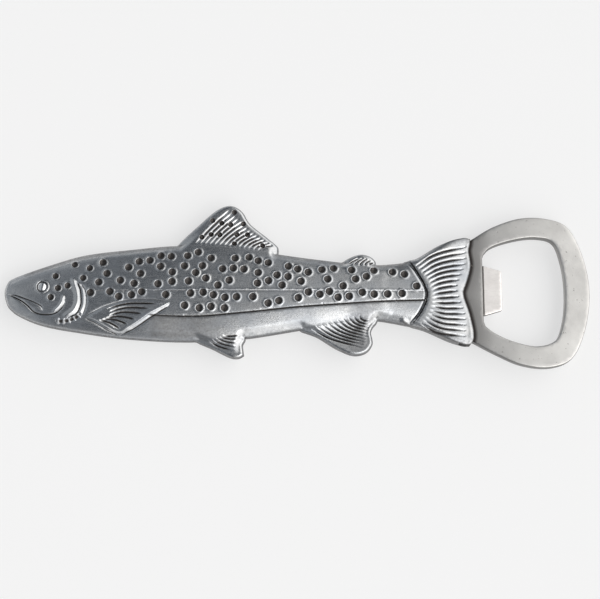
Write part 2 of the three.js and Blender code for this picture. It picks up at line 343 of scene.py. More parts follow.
CREASE_DEPTH = 0.3
STEP_LINE = profile([(44, -8), (62, -8.5), (80, -7), (94, -5.5), (107, -4.5), (122, -3.5),
                     (138, -3)])
STEP_START = 46
STEP_DROP = 0.35
BELLY_TILT = 0.1
LATERAL_LINE = smooth([(29, 0), (80, 0.1), (136.6, 0)], 0.5)
PECTORAL_FIN = smooth([(27, -9), (33.5, -6), (41, -4), (49, -4), (54, -4.5), (48, -8), (42, -12),
                       (38, -14), (33.5, -12), (30, -10), (27, -9)], 0.4)
PECTORAL_RISE = 0.38


def dome(points):
    """The plain flank of the body."""
    s, h = points.T
    near = np.clip(s / NOSE_ROUND, 0, 1)
    blunt = np.maximum(0.08, np.sqrt(1 - (1 - near) ** 2))
    top = NOSE_HEIGHT + (BACK_LINE(s) - NOSE_HEIGHT) * blunt
    bottom = NOSE_HEIGHT + (BELLY_LINE(s) - NOSE_HEIGHT) * blunt
    u = np.clip(np.abs(2 * h - top - bottom) / (top - bottom), 0, 1)
    crown = CROWN_LINE(s) * CROWN_SHARE * (0.35 + 0.65 * blunt)
    return crown * (1 - u**2.22) ** 0.38


def past_body_end(points):
    """Distance from the curved edge where the scales stop, positive on the tail's side."""
    gap, _ = to_line(points, BODY_END)
    beyond = points[:, 0] > np.interp(points[:, 1], BODY_END[::-1, 1], BODY_END[::-1, 0])
    return np.where(beyond, gap, -gap)


# Every groove and line: its curve, half width, height (below 0 for a groove), how dark its patina is,
# and the share of its length over which each end tapers.
STROKES = []


def stroke(points, half_width, height, patina_and_shade=0.0, ends=0.12):
    STROKES.append((smooth(points, 0.3), half_width, height, patina_and_shade, ends))


def rays(starts, ends, count, bend, half_width, depth, taper=0.3):
    """Grooves from one curve to another. bend is how far one bows to its left, from first to last."""
    a = smooth(starts, 0.05)
    b = smooth(ends, 0.05)
    for t in np.linspace(0, 1, count):
        p = a[round(t * (len(a) - 1))]
        q = b[round(t * (len(b) - 1))]
        left = np.array([p[1] - q[1], q[0] - p[0]]) / np.linalg.norm(q - p)
        middle = p + (q - p) * 0.4 + left * (bend[0] + (bend[1] - bend[0]) * t)
        STROKES.append((smooth([p, middle, q], 0.4), half_width, -depth, 1.0, taper))


def tail_rays():
    starts = [(133.5, 8), (137.5, 3.5), (139, -1.5), (138, -6.5), (135, -11)]
    ends = [(150.3, 14.8), (149.8, 9), (147, 1), (149.6, -8.5), (149.3, -15)]
    rays(starts, ends, 17, (1.3, -1.3), 0.62, 0.5)


def dorsal_rays():
    starts = [(62, 15.6), (69, 15.3), (76, 14.6), (82.5, 13.6)]
    ends = [(73, 27.3), (76.7, 23.5), (79.8, 20.3), (83, 18), (87, 15.4)]
    rays(starts, ends, 14, (0.3, 0.3), 0.62, 0.4)


def anal_rays():
    starts = [(99.5, -12.3), (104.5, -10.8), (110, -9.3), (115, -8.3)]
    ends = [(116, -18.5), (117.5, -15), (118, -12.5), (118.2, -10)]
    rays(starts, ends, 10, (-0.9, -0.6), 0.48, 0.4)


def small_fin_rays():
    pelvic_starts = [(66.5, -16.2), (69, -15.6), (71.5, -14.8)]
    pelvic_ends = [(74.5, -19.5), (75.6, -17.5), (76.4, -14.6)]
    rays(pelvic_starts, pelvic_ends, 5, (-0.5, -0.2), 0.45, 0.35)
    adipose_starts = [(111.8, 8.8), (115, 8.4), (118.6, 8.6)]
    adipose_ends = [(115.2, 11), (118, 10.7), (119.8, 9.6)]
    rays(adipose_starts, adipose_ends, 5, (0.15, 0.1), 0.45, 0.35, 0.15)


def pectoral_lines():
    starts = [(34, -6.3), (35, -7.8), (34, -9.2), (31.5, -10)]
    ends = [(50.5, -4.7), (47, -7), (42.8, -10.2), (38.3, -12.8)]
    rays(starts, ends, 6, (0.9, 0.5), 0.6, 0.42, 0.18)
    stroke([(53.8, -4.6), (47.8, -7.8), (42.3, -11.5), (38.4, -13.6)], 0.8, 0.3, ends=0.5)
    stroke([(54.5, -5), (48.5, -8.7), (42.6, -12.6), (38, -14.6)], 0.4, -0.25, 0.95)
    stroke([(37.6, -14.6), (33.2, -12.6), (29.8, -10.6), (27, -9.5)], 0.34, -0.2, 0.85)
    stroke([(27.5, -8.3), (33.4, -5.4), (41, -3.4), (49, -3.4), (53.5, -4)], 0.3, -0.14, 0.7)
    stroke([(29, -8.2), (33.8, -6.2), (41, -4.4), (49, -4.4), (52.5, -4.6)], 0.34, 0.12)


def head_lines():
    stroke([(0.8, -1), (3, -2), (6, -3.5), (8, -5), (10, -7), (12.5, -7.9), (15.5, -8), (17.5, -7.4),
            (19.4, -5.6), (20.4, -3.5)], 0.4, -0.35, 0.85)
    stroke([(2, -1.5), (4.5, -1.8), (7, -2.7), (10, -3.9), (12.5, -5.4), (13.2, -6.8)], 0.36, -0.26, 0.8)
    stroke([(6.8, -3.6), (9, -5), (11.3, -6.1), (12.7, -6.6)], 0.85, 0.2, ends=0.3)
    stroke([(16.3, -7.2), (18, -5.9), (19.2, -4.2), (19.8, -1.8)], 0.62, 0.38)
    stroke([(22.3, 3.8), (23.4, 1), (24.2, -2), (24.1, -4.5), (22.7, -7), (19.8, -8.5)], 1.0, 0.5)
    stroke([(23.7, 3), (24.9, 0.5), (25.4, -2.5), (25.3, -5), (24, -7.7), (21, -9.2)], 0.36, -0.35, 0.95)
    stroke([(24.4, 2.2), (25.8, 0), (26.3, -3), (26.1, -5.5), (25.2, -7.6)], 0.34, 0.28)
    stroke([(25.2, 2), (26.6, -0.2), (27.1, -3), (26.8, -6), (25.7, -8.7)], 0.32, -0.22, 0.7)


def gill_bars():
    """Short bars across a dark channel under the gill cover."""
    channel = [(17, -10), (20.2, -10.1), (22.5, -9.6), (24.4, -8.6), (25.4, -7.6)]
    stroke(channel, 1.05, -0.22, 0.9)
    path = smooth(channel, 0.1)
    for share in (0.12, 0.32, 0.52, 0.71, 0.89):
        i = round(share * (len(path) - 2))
        along = path[i + 1] - path[i]
        across = np.array([-along[1], along[0]]) / np.linalg.norm(along) * 0.8
        stroke([path[i] - across, path[i], path[i] + across], 0.5, 0.4, -1.0, 0.1)


for make_lines in (tail_rays, dorsal_rays, anal_rays, small_fin_rays, pectoral_lines, head_lines,
                   gill_bars):
    make_lines()

# ---- spots ----
SPOT_RADIUS = 1.2
HEAD_SPOT_RADIUS = 1.02
FIN_SPOT_RADIUS = 0.86
SPOT_GAP = 3.15  # least distance between two centres
FIN_SPOT_GAP = 2.7
SPOT_COUNT = 88
FIN_SPOT_COUNT = 12
SPOT_SEED = 11
SPOT_TRIES = 20000
HEAD_END = 28
LOW_SPOTS_START = 52  # where spots also lie below the lateral line, down to the belly step
FRONT_SPOTS_LOW = -3.2
OFF_STEP = 1.7  # the least distances of a spot's centre from other features
OFF_BACK = 2.3
OFF_BODY_END = 2
OFF_PECTORAL = 1.6
OFF_EYE = 3.5
OFF_LATERAL = 0.5
OFF_STROKE = 1.5
OFF_FIN_EDGE = 1.3
OFF_FIN_ROOT = 1
EYE_LOW, EYE_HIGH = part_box("front_eye")
EYE = station_height((EYE_LOW + EYE_HIGH) / 2)


def scatter(rng, count, gap, low, high, allowed):
    """Points thrown at random into a box, kept where they are allowed and far enough apart."""
    made = []
    for _ in range(SPOT_TRIES):
        p = rng.uniform(low, high)
        if len(made) < count and allowed(p) and all(np.linalg.norm(p - q) > gap for q in made):
            made.append(p)
    return made


def on_upper_flank(p):
    """Whether a spot may lie here: above the belly step and off the eye, gill, fin and edges."""
    s, h = p
    here = p[None]
    low_edge = STEP_LINE(s) + OFF_STEP if s > LOW_SPOTS_START else FRONT_SPOTS_LOW
    if not low_edge < h < BACK_LINE(s) - OFF_BACK or past_body_end(here)[0] > -OFF_BODY_END:
        return False
    if inside(here, PECTORAL_FIN)[0] or gap_to(here, PECTORAL_FIN)[0] < OFF_PECTORAL:
        return False
    if np.linalg.norm(p - EYE) < OFF_EYE or gap_to(here, LATERAL_LINE)[0] < OFF_LATERAL:
        return False
    return all(gap_to(here, line)[0] > OFF_STROKE for line, *_ in STROKES)


def on_dorsal_fin(p):
    here = p[None]
    return (p[1] > BACK_LINE(p[0]) + OFF_FIN_ROOT and inside(here, OUTLINE)[0]
            and gap_to(here, OUTLINE)[0] > OFF_FIN_EDGE)


def make_spots():
    """Centre and radius of each spot, and 1 where it has a raised rim."""
    rng = np.random.default_rng(SPOT_SEED)
    flank = scatter(rng, SPOT_COUNT, SPOT_GAP, (15.5, -9), (136, 14), on_upper_flank)
    fin = scatter(rng, FIN_SPOT_COUNT, FIN_SPOT_GAP, (57, 15), (84, 28), on_dorsal_fin)
    made = [(p, HEAD_SPOT_RADIUS if p[0] < HEAD_END else SPOT_RADIUS, 1.0) for p in flank]
    return made + [(p, FIN_SPOT_RADIUS, 0.0) for p in fin]


SPOTS = make_spots()
SPOT_REACH = 1.7  # how far round it a spot changes the surface, in its own radii
SPOT_DEPTH = 0.45
SPOT_RIM = 0.1
EYE_SOCKET = 1.78
EYE_RIM = 0.16
EYE_DEPTH = 1.3


class Relief:
    """The flank at some points: its height z above the middle plane, and how dark it is from 0 to 1, as
    patina and painted shade.
    """

    def __init__(self, points):
        self.points = points
        self.s, self.h = points.T
        self.edge = outline_gap(points)
        self.past = past_body_end(points)
        self.on_body = step_up(0, 0.4, -self.past)
        self.inner = self.on_body * step_up(0.2, 1.5, self.edge)
        self.beyond = np.maximum(np.maximum(self.h - BACK_LINE(self.s), BELLY_LINE(self.s) - self.h), 0)
        self.patina_and_shade = np.zeros(len(points))
        self.z = self.body_and_fins()
        self.crease()
        self.belly_step()
        self.lateral_line()
        self.edge_patina_and_shade()
        self.pectoral_fin()
        for line in STROKES:
            self.stroke(*line)
        for spot in SPOTS:
            self.spot(*spot)
        self.eye_socket()
        self.z = np.clip(self.z, LEAST, HIGHEST)

    def darken(self, amount):
        """Darkens the patina and painted shade to an amount, where they are lighter than that."""
        self.patina_and_shade = np.maximum(self.patina_and_shade, amount)

    def body_and_fins(self):
        """The domed body, the flat fins that it merges into, and the tail with its rounded sides."""
        s, edge, past = self.s, self.edge, self.past
        body = dome(self.points) * quarter_round(-past / BODY_END_ROUND)
        root = FIN_ROOT_RISE * np.exp(-self.beyond / FIN_ROOT_REACH)
        root *= step_up(0.8, 3, edge) * step_up(3, 0.5, past + 8)
        roll = TAIL_ROLL * np.clip((s - 136) / 14, 0, 1) ** 2
        plateau = FIN_TOP + root + (TAIL_TOP - FIN_TOP) * step_up(-0.3, 0.5, past) - roll
        roundover = quarter_round(edge / FIN_ROUND)
        tail = np.flatnonzero(s > TAIL_START)
        side = np.minimum(*(gap_to(self.points[tail], line) for line in TAIL_EDGES))
        on_tail = step_up(TAIL_START, TAIL_START + 6, s[tail])
        wide = 1 - (1 - quarter_round(side / TAIL_ROUND)) * on_tail
        roundover[tail] = np.minimum(roundover[tail], wide)
        # painted shade on the tail's rounded upper and lower edges
        self.patina_and_shade[tail] = 0.3 * step_up(TAIL_ROUND, 0.6, side) * on_tail
        fillet = LEAST_FILLET + FIN_FILLET * step_up(0.8, 2.5, edge) * (1 - step_up(122, 128, s))
        sill = 0.25 + 0.61 * step_up(132, 147, s)
        return soft_max(body, plateau * (sill + (1 - sill) * roundover), fillet)

    def crease(self):
        """The dark groove round the end of the body."""
        crease = bell(self.past - 0.18, 0.24) * step_up(0.4, 1.3, self.edge)
        self.z -= CREASE_DEPTH * crease
        self.darken(0.95 * crease)

    def belly_step(self):
        """The step down to the smooth belly, the dark line along it and painted shade on the belly below
        it.
        """
        below = STEP_LINE(self.s) - self.h
        fade = self.inner * step_up(STEP_START, STEP_START + 3, self.s)
        deeper = self.inner * step_up(STEP_START, STEP_START + 16, self.s)
        drop = STEP_DROP * step_up(0, 0.22, below) * np.exp(-np.maximum(below - 0.22, 0) / 9)
        tilt = BELLY_TILT * np.maximum(below, 0) * np.exp(-np.maximum(below, 0) / 5)
        self.z -= deeper * (drop + tilt)
        self.z -= 0.2 * fade * bell(below - 0.25, 0.22)
        self.darken(0.95 * fade * bell(below - 0.2, 0.26))
        # painted shade just under the step, and wider painted shade on the belly, strongest at its front
        # and round station 116
        self.darken(0.25 * fade * step_up(0, 0.1, below) * np.exp(-below / 1.2))
        belly_shade = 0.42 * step_up(88, 56, self.s) + 0.36 * bell(self.s - 116, 6)
        self.darken(fade * belly_shade * step_up(0, 0.3, below))

    def lateral_line(self):
        """A fine raised line along the flank, with a dark one under it."""
        gap, along = to_line(self.points, LATERAL_LINE)
        on_line = self.inner * step_up(0, 0.02, along)
        under = on_line * bell(self.h + 0.36, 0.18)
        self.z += 0.1 * on_line * bell(gap, 0.18)
        self.z -= 0.1 * under
        self.darken(0.45 * under)

    def edge_patina_and_shade(self):
        """Patina along the outline that is also painted shade on its rounded edge, and painted shade on the
        body's shoulders, more on the back's than on the belly's.
        """
        self.darken(0.62 * (1 - step_up(0.05, 0.75, self.edge)))
        # painted shade that dims the bright reflection on the rounded shoulders
        shoulder = step_up(2.8, 0.4, self.edge) * self.on_body * (self.beyond == 0) * step_up(3, 9, self.s)
        self.darken(shoulder * np.where(self.h > 0, 0.5, 0.22))

    def pectoral_fin(self):
        """The fin that lies on the flank behind the gill cover."""
        reach, _ = to_line(self.points, PECTORAL_FIN)
        self.z += PECTORAL_RISE * step_up(0, 0.45, np.where(inside(self.points, PECTORAL_FIN), reach, 0))

    def stroke(self, line, half_width, height, dark, ends):
        """One ridge or groove. A dark below 0 wipes patina off."""
        low = line.min(0) - half_width
        high = line.max(0) + half_width
        near = np.flatnonzero(((self.points > low) & (self.points < high)).all(1))
        gap, along = to_line(self.points[near], line)
        taper = np.clip(np.minimum(along, 1 - along) / ends, 0, 1) ** 0.6
        across = np.clip(gap / (half_width * (0.45 + 0.55 * taper)), 0, 1)
        shape = np.cos(across * math.pi / 2) ** 2 * taper
        self.z[near] += height * shape
        if dark > 0:
            self.patina_and_shade[near] = np.maximum(self.patina_and_shade[near], dark * step_up(0.35, 0.8, shape))
        else:
            self.patina_and_shade[near] *= 1 - np.abs(dark) * step_up(0.2, 0.6, shape)

    def spot(self, centre, radius, rim):
        """One dark dimple with a clean rim, raised where rim is 1."""
        near = np.flatnonzero(np.abs(self.points - centre).max(1) < SPOT_REACH * radius)
        d = np.linalg.norm(self.points[near] - centre, axis=1) / radius
        self.z[near] -= SPOT_DEPTH * np.clip(1 - d**2.8, 0, 1)
        self.z[near] += rim * SPOT_RIM * bell(d - 1.17, 0.16)
        cleaned = self.patina_and_shade[near] * step_up(1.0, 1.4, d)
        self.patina_and_shade[near] = np.maximum(cleaned, 1 - step_up(0.93, 1.08, d))

    def eye_socket(self):
        """The ring round the eye and the dark pocket that its bead sits in."""
        d = np.linalg.norm(self.points - EYE, axis=1)
        self.z += EYE_RIM * bell(d - EYE_SOCKET - 0.25, 0.2)
        self.z -= EYE_DEPTH * (1 - step_up(EYE_SOCKET - 0.15, EYE_SOCKET + 0.05, d))
        self.darken(1 - step_up(EYE_SOCKET - 0.12, EYE_SOCKET + 0.02, d))


# ---- meshing ----
FILL = 0.55  # spacing of the points where the surface is plain
FILL_GAP = 0.36 * FILL
EDGE_ROWS = (0.05, 0.14, 0.28, 0.48, 0.75, 1.05)
EDGE_CLEAR = 0.03
SPOT_RINGS = (0.3, 0.62, 0.84, 0.94, 1.02, 1.1, 1.2, 1.32, 1.5)  # in radii of the spot
SPOT_SIDES = 20
EYE_RINGS = (0.6, 1.2, 1.62, 1.72, 1.82, 1.92, 2.05, 2.2, 2.4)
EYE_SIDES = 32
STROKE_ROWS = (0, -0.35, 0.35, -0.7, 0.7, -1.05, 1.05)  # in half widths of the stroke
STEP_ROWS = (0, 0.08, 0.16, 0.24, 0.4, 0.7, -0.2)
STEP_SPACING = 0.45
STEP_END = 137
LATERAL_ROWS = (0, 0.12, -0.15, -0.3, -0.45, 0.28)
BODY_END_ROWS = (-0.9, -0.6, -0.35, -0.15, -0.03, 0.08, 0.2, 0.34, 0.5)
PECTORAL_ROWS = (-0.5, -0.3, -0.15, 0, 0.15)
CELL = 0.3  # size of the cells that neighbours are looked up in, more than any gap below
CDT_EPSILON = 1e-7
LEAST_TURN = 1e-9  # twice the area below which a triangle is dropped


def offset_rows(line, offsets, closed=False):
    """Points beside a polyline, at each offset to its left."""
    if closed:
        along = np.roll(line, -1, axis=0) - np.roll(line, 1, axis=0)
    else:
        along = np.gradient(line, axis=0)
    left = np.stack([-along[:, 1], along[:, 0]], 1)
    left /= np.maximum(np.linalg.norm(left, axis=1), 1e-9)[:, None]
    return [line + left * d for d in offsets]


def circle(centre, radius, sides):
    angles = np.arange(sides) * 2 * math.pi / sides
    return centre + radius * np.stack([np.cos(angles), np.sin(angles)], 1)


ROW_SHARE = 0.866  # height of an even triangle with sides of 1


def grid(low, high, spacing):
    """A triangular grid over a box."""
    rows = np.arange(low[1], high[1], spacing * ROW_SHARE)
    stations = np.arange(low[0], high[0], spacing)
    return np.array([(x + (j % 2) * spacing / 2, y) for j, y in enumerate(rows) for x in stations])


def surface_points():
    """Groups of points with the distance that each keeps from those before it."""
    edge_rows = offset_rows(OUTLINE, [INWARD * d for d in EDGE_ROWS], closed=True)
    for row, depth in zip(edge_rows, EDGE_ROWS):
        yield row[outline_gap(row) > 0.9 * depth], 0.04
    for centre, radius, _ in SPOTS:
        yield np.vstack([circle(centre, radius * r, SPOT_SIDES) for r in SPOT_RINGS]), 0.05
        yield centre[None], 0.05
    for radius in EYE_RINGS:
        yield circle(EYE, radius, EYE_SIDES), 0.05
    for line, half_width, *_ in STROKES:
        yield np.vstack(offset_rows(line, [half_width * k for k in STROKE_ROWS])), 0.12
    stations = np.arange(STEP_START, STEP_END, STEP_SPACING)
    for drop in STEP_ROWS:
        yield np.stack([stations, STEP_LINE(stations) - drop], 1), 0.06
    for rise in LATERAL_ROWS:
        yield LATERAL_LINE + (0, rise), 0.08
    for row in offset_rows(BODY_END, BODY_END_ROWS) + offset_rows(PECTORAL_FIN, PECTORAL_ROWS):
        yield row, 0.08
    yield grid(OUTLINE.min(0), OUTLINE.max(0), FILL), FILL_GAP


def gather():
    """All points of the surface, thinned so that none crowd each other."""
    made = []
    cells = {}
    for group, least in surface_points():
        group = group[inside(group, OUTLINE)]
        for p in group[outline_gap(group) > EDGE_CLEAR]:
            i, j = int(p[0] // CELL), int(p[1] // CELL)
            around = [(a, b) for a in (i - 1, i, i + 1) for b in (j - 1, j, j + 1)]
            near = (q for cell in around for q in cells.get(cell, ()))
            if all((p[0] - q[0]) ** 2 + (p[1] - q[1]) ** 2 >= least * least for q in near):
                made.append(p)
                cells.setdefault((i, j), []).append(p)
    return np.array(made)


def triangles(points, loops, keep):
    """Triangles over the points, bounded by the loops of point indices."""
    edges = [(int(a), int(b)) for loop in loops for a, b in zip(loop, np.roll(loop, -1))]
    out = delaunay_2d_cdt([Vector(p) for p in points], edges, [], 0, CDT_EPSILON)
    coords = np.array([tuple(v) for v in out[0]])
    faces = np.array([f for f in out[2] if len(f) == 3])
    faces = faces[keep(coords[faces].mean(1))]
    a, b, c = (coords[faces[:, k]] for k in range(3))
    turn = cross(b - a, c - a)
    faces[turn < 0] = faces[turn < 0][:, ::-1]
    return coords, faces[np.abs(turn) > LEAST_TURN]


def new_object(name, verts, faces):
    mesh = bpy.data.meshes.new(name)
    mesh.from_pydata([tuple(v) for v in verts], [], [tuple(int(i) for i in f) for f in faces])
    mesh.validate()
    return add(name, mesh)


def fish_coords(mesh):
    """A mesh's vertices in the fish's frame, in millimetres."""
    flat = np.zeros(len(mesh.vertices) * 3)
    mesh.vertices.foreach_get("co", flat)
    return (flat.reshape(-1, 3) - np.array(NOSE)) / MM


def keep_values(mesh, name, values):
    """Stores one number per vertex, for the material to read."""
    layer = mesh.attributes.new(name, "FLOAT", "POINT")
    layer.data.foreach_set("value", values.astype(np.float32))


def boundary(faces):
    """Edges that only one face uses, in that face's direction."""
    used = {(int(f[i]), int(f[(i + 1) % 3])) for f in faces for i in range(3)}
    return [e for e in used if e[::-1] not in used]


def flank_mesh():
    """Verts and faces of the front flank: its relief, its side wall and its flat underside."""
    n = len(OUTLINE)
    points = np.vstack([OUTLINE, gather()])
    coords, faces = triangles(points, [np.arange(n)], lambda c: inside(c, OUTLINE))
    top = np.column_stack([coords, Relief(coords).z])
    bottom = np.column_stack([coords, np.full(len(coords), SEAM)])
    count = len(coords)
    walls = []
    for a, b in boundary(faces):
        walls += [(a, a + count, b), (b, a + count, b + count)]
    under = faces[:, ::-1] + count
    return place(np.vstack([top, bottom])), np.vstack([faces, np.array(walls), under])


def bands(first, n, rows):
    """Quads between rings of n vertices each, numbered from first on."""
    return [(low + i, low + (i + 1) % n, low + n + (i + 1) % n, low + n + i)
            for low in range(first, first + (rows - 1) * n, n) for i in range(n)]


def prism(name, loop, z0, z1):
    """A closed prism over a loop of points."""
    loop = np.asarray(loop, float)
    if signed_area(loop) < 0:
        loop = loop[::-1]
    n = len(loop)
    verts = np.vstack([np.column_stack([loop, np.full(n, z)]) for z in (z0, z1)])
    caps = [tuple(range(n))[::-1], tuple(range(n, 2 * n))]
    return new_object(name, place(verts), bands(0, n, 2) + caps)


def cut(target, *cutters):
    """Takes the cutters out of the target, for good."""
    for cutter in cutters:
        modifier = target.modifiers.new("cut", "BOOLEAN")
        modifier.operation = "DIFFERENCE"
        modifier.solver = "MANIFOLD"
        modifier.object = cutter
        bpy.context.view_layer.update()
        cut_mesh = bpy.data.meshes.new_from_object(
            target.evaluated_get(bpy.context.evaluated_depsgraph_get()))
        target.modifiers.clear()
        target.data = cut_mesh
        bpy.data.objects.remove(cutter)


TANG_HALF = 4.5
TANG_END = 105
TANG_SIDES = 48  # of the full circle that its round end is half of
ROOT_START = 147.4
ROOT_HIGH = 16.6
ROOT_LOW = -16.2
POCKET_END = 149
FAR_END, FAR_SIDE = 160, 30  # past the fish on every side
CLEARANCE = 0.15
EYE_HOLE = 1.05
EYE_HOLE_LOW, EYE_HOLE_HIGH = 1.0, 2.9
FRAME_HALF = 1.8
SMOOTH_ANGLE = math.radians(50)
WALL_PATINA = 0.6
ON_SURFACE = 0.05  # a vertex this near the relief's height is part of it


def tang_loop(grow, end):
    """The tang's outline, from the end round its tip and back."""
    half = TANG_HALF + grow
    tip = circle(np.array([TANG_END + TANG_HALF, 0]), half, TANG_SIDES)
    quarter = TANG_SIDES // 4
    return np.vstack([[(end, half)], tip[quarter:3 * quarter + 1], [(end, -half)]])


def node_circle(node, grow):
    """A circle round a pin or dowel of the CAD, in the fish's frame, and half its length."""
    low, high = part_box(node)
    radius = (high.x - low.x) / 2 / MM + grow
    return circle(station_height((low + high) / 2), radius, 32), (high.z - low.z) / 2 / MM + grow


def flank_cutters():
    """The room for the tang, the frame's root, the pins, the dowels and the eye."""
    deep = FRAME_HALF + CLEARANCE
    start = ROOT_START - CLEARANCE
    beside = [(start, -FAR_SIDE), (FAR_END, -FAR_SIDE), (FAR_END, FAR_SIDE), (start, FAR_SIDE)]
    made = [prism("cut_tang", tang_loop(CLEARANCE, POCKET_END), -deep, deep),
            prism("cut_root", beside, -deep, deep + 0.001)]
    for node in ("tang_pin_fore", "tang_pin_aft", "head_dowel", "body_dowel"):
        loop, half = node_circle(node, CLEARANCE)
        made.append(prism("cut_" + node, loop, -half, half))
    made.append(prism("cut_eye", circle(EYE, EYE_HOLE, 24), EYE_HOLE_LOW, EYE_HOLE_HIGH))
    return made


def make_flank():
    """The front flank, with its holes and pockets cut and its patina and painted shade kept with its
    points.
    """
    obj = new_object("trout_front", *flank_mesh())
    cut(obj, *flank_cutters())
    mesh = obj.data
    local = fish_coords(mesh)
    there = Relief(local[:, :2])
    on_top = np.abs(local[:, 2] - there.z) < ON_SURFACE
    keep_values(mesh, "patina_and_shade", np.where(on_top, there.patina_and_shade, WALL_PATINA))
    return obj


def mirrored_flank(front):
    """The back flank, the front one's mirror image across the middle plane."""
    mesh = front.data.copy()
    mesh.transform(Matrix.Translation((0, 0, 2 * NOSE.z)) @ Matrix.Diagonal((1, 1, -1, 1)))
    mesh.flip_normals()
    return add("trout_back", mesh)


def finish_piece(obj, node):
    """Shades a piece, hangs it on its body and hides the CAD node that it stands for."""
    obj.data.shade_smooth()
    obj.data.set_sharp_from_angle(angle=SMOOTH_ANGLE)
    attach(obj, BODY)
    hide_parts(node)


# ---- plates: the opener frame and its lip ----


RIM_CLEAR = 0.15


def rounded_plate(name, outer, holes, z0, z1, edge, steps=4, fill=1.2, finer=None):
    """A flat plate whose edges are rounded, with a triangulated face that shades evenly.

    finer are more points for its faces, where something on them needs a finer mesh.
    """
    loops = [loop if (signed_area(loop) > 0) == (loop is outer) else loop[::-1]
             for loop in [outer] + holes]
    angles = [k / steps * math.pi / 2 for k in range(steps + 1)]
    levels = [(edge * (1 - math.sin(a)), z0 + edge * (1 - math.cos(a))) for a in angles]
    levels += [(inset, z0 + z1 - z) for inset, z in reversed(levels)]
    verts = []
    faces = []
    caps = []
    for loop in loops:
        n = len(loop)
        first = len(verts)
        for inset, z in levels:
            row = offset_rows(loop, [inset], closed=True)[0]
            verts.extend((*p, z) for p in row)
        faces += bands(first, n, len(levels))
        caps.append((first, first + (len(levels) - 1) * n, n))
    rings = [np.array([verts[b + i][:2] for i in range(n)]) for _, b, n in caps]
    hull = np.vstack(rings)
    spread = grid(hull.min(0), hull.max(0), fill)
    if finer is not None:
        spread = spread[gap_to(spread, finer) > 0.5 * fill]
        spread = np.vstack([spread, finer])

    def within(p):
        return np.logical_xor.reduce([inside(p, ring) for ring in rings])

    spread = spread[within(spread)]
    clear = np.min([gap_to(spread, np.vstack([r, r[:1]])) for r in rings], axis=0)
    spread = spread[clear > (0.45 * fill if finer is None else RIM_CLEAR)]
    starts = np.cumsum([0] + [len(r) for r in rings])
    index_loops = [np.arange(a, b) for a, b in zip(starts, starts[1:])]
    coords, tris = triangles(np.vstack([hull, spread]), index_loops, within)
    for side, z in ((0, z0), (1, z1)):
        names = [cap[side] + i for cap in caps for i in range(cap[2])]
        for p in coords[len(names):]:
            names.append(len(verts))
            verts.append((*p, z))
        for a, b, c in tris:
            face = (names[a], names[b], names[c])
            faces.append(face if side else face[::-1])
    return new_object(name, place(np.array(verts)), faces)


LOOP_OUTSIDE = [(151.5, 17), (159, 21.5), (168, 24.5), (176, 24.5), (183, 22), (187.5, 14),
                (190, 0), (187.5, -14.5), (183, -22.5), (176, -25), (167, -24), (159, -20.5),
                (151.5, -16.5)]
LOOP_INSIDE = [(156, -11.5), (158.5, -13.5), (165, -16.5), (173, -18), (178.5, -16), (181, -10),
               (182, 0), (181, 10), (178.5, 16.5), (173, 18), (165, 17), (158, 14.5), (156, 12.5)]
OPENING_START = 155.4
OPENING_HALF = 11  # of its straight side, in whole millimetres
TARNISH_AND_SHADOW_ROWS = (0.1, 0.45, 0.8, 1.2, 1.7, 2.4, 3.2)
TARNISH_AND_SHADOW_START = 146.5
FRAME_EDGE = 0.5
LIP_TOP = -0.05
LIP_TIP = 161.8
LIP_CENTRE = 0.6
LIP_ROOT_HALF = 8.4
LIP_TIP_HALF = 6.7
LIP_EDGE = 0.22
SHOULDER = 151.6
SHANK_END = 124
DEEP = 4  # past the frame on both sides


def lip_loop(grow=0.0, step=0.5):
    """The lip's outline: a tapered tongue, shoulders under the frame, and a shank."""
    c = LIP_CENTRE
    root = LIP_ROOT_HALF + grow
    tip = LIP_TIP_HALF + grow
    half = TANG_HALF + grow
    shoulder = SHOULDER - grow
    shank = [(SHANK_END - grow, half), (shoulder, half)]
    tongue = [(shoulder, root), (OPENING_START, root), (LIP_TIP - 1.0, tip + 0.12),
              (LIP_TIP - 0.3, tip - 0.15), (LIP_TIP, tip - 0.9)]
    corners = np.array(shank + [(s, c + w) for s, w in tongue]
                       + [(s, c - w) for s, w in tongue[::-1]] + [(s, -w) for s, w in shank[::-1]])
    made = []
    for a, b in zip(corners, np.roll(corners, -1, axis=0)):
        count = max(1, round(np.linalg.norm(b - a) / step))
        made.extend(a + (b - a) * k / count for k in range(count))
    return np.array(made)[::-1]


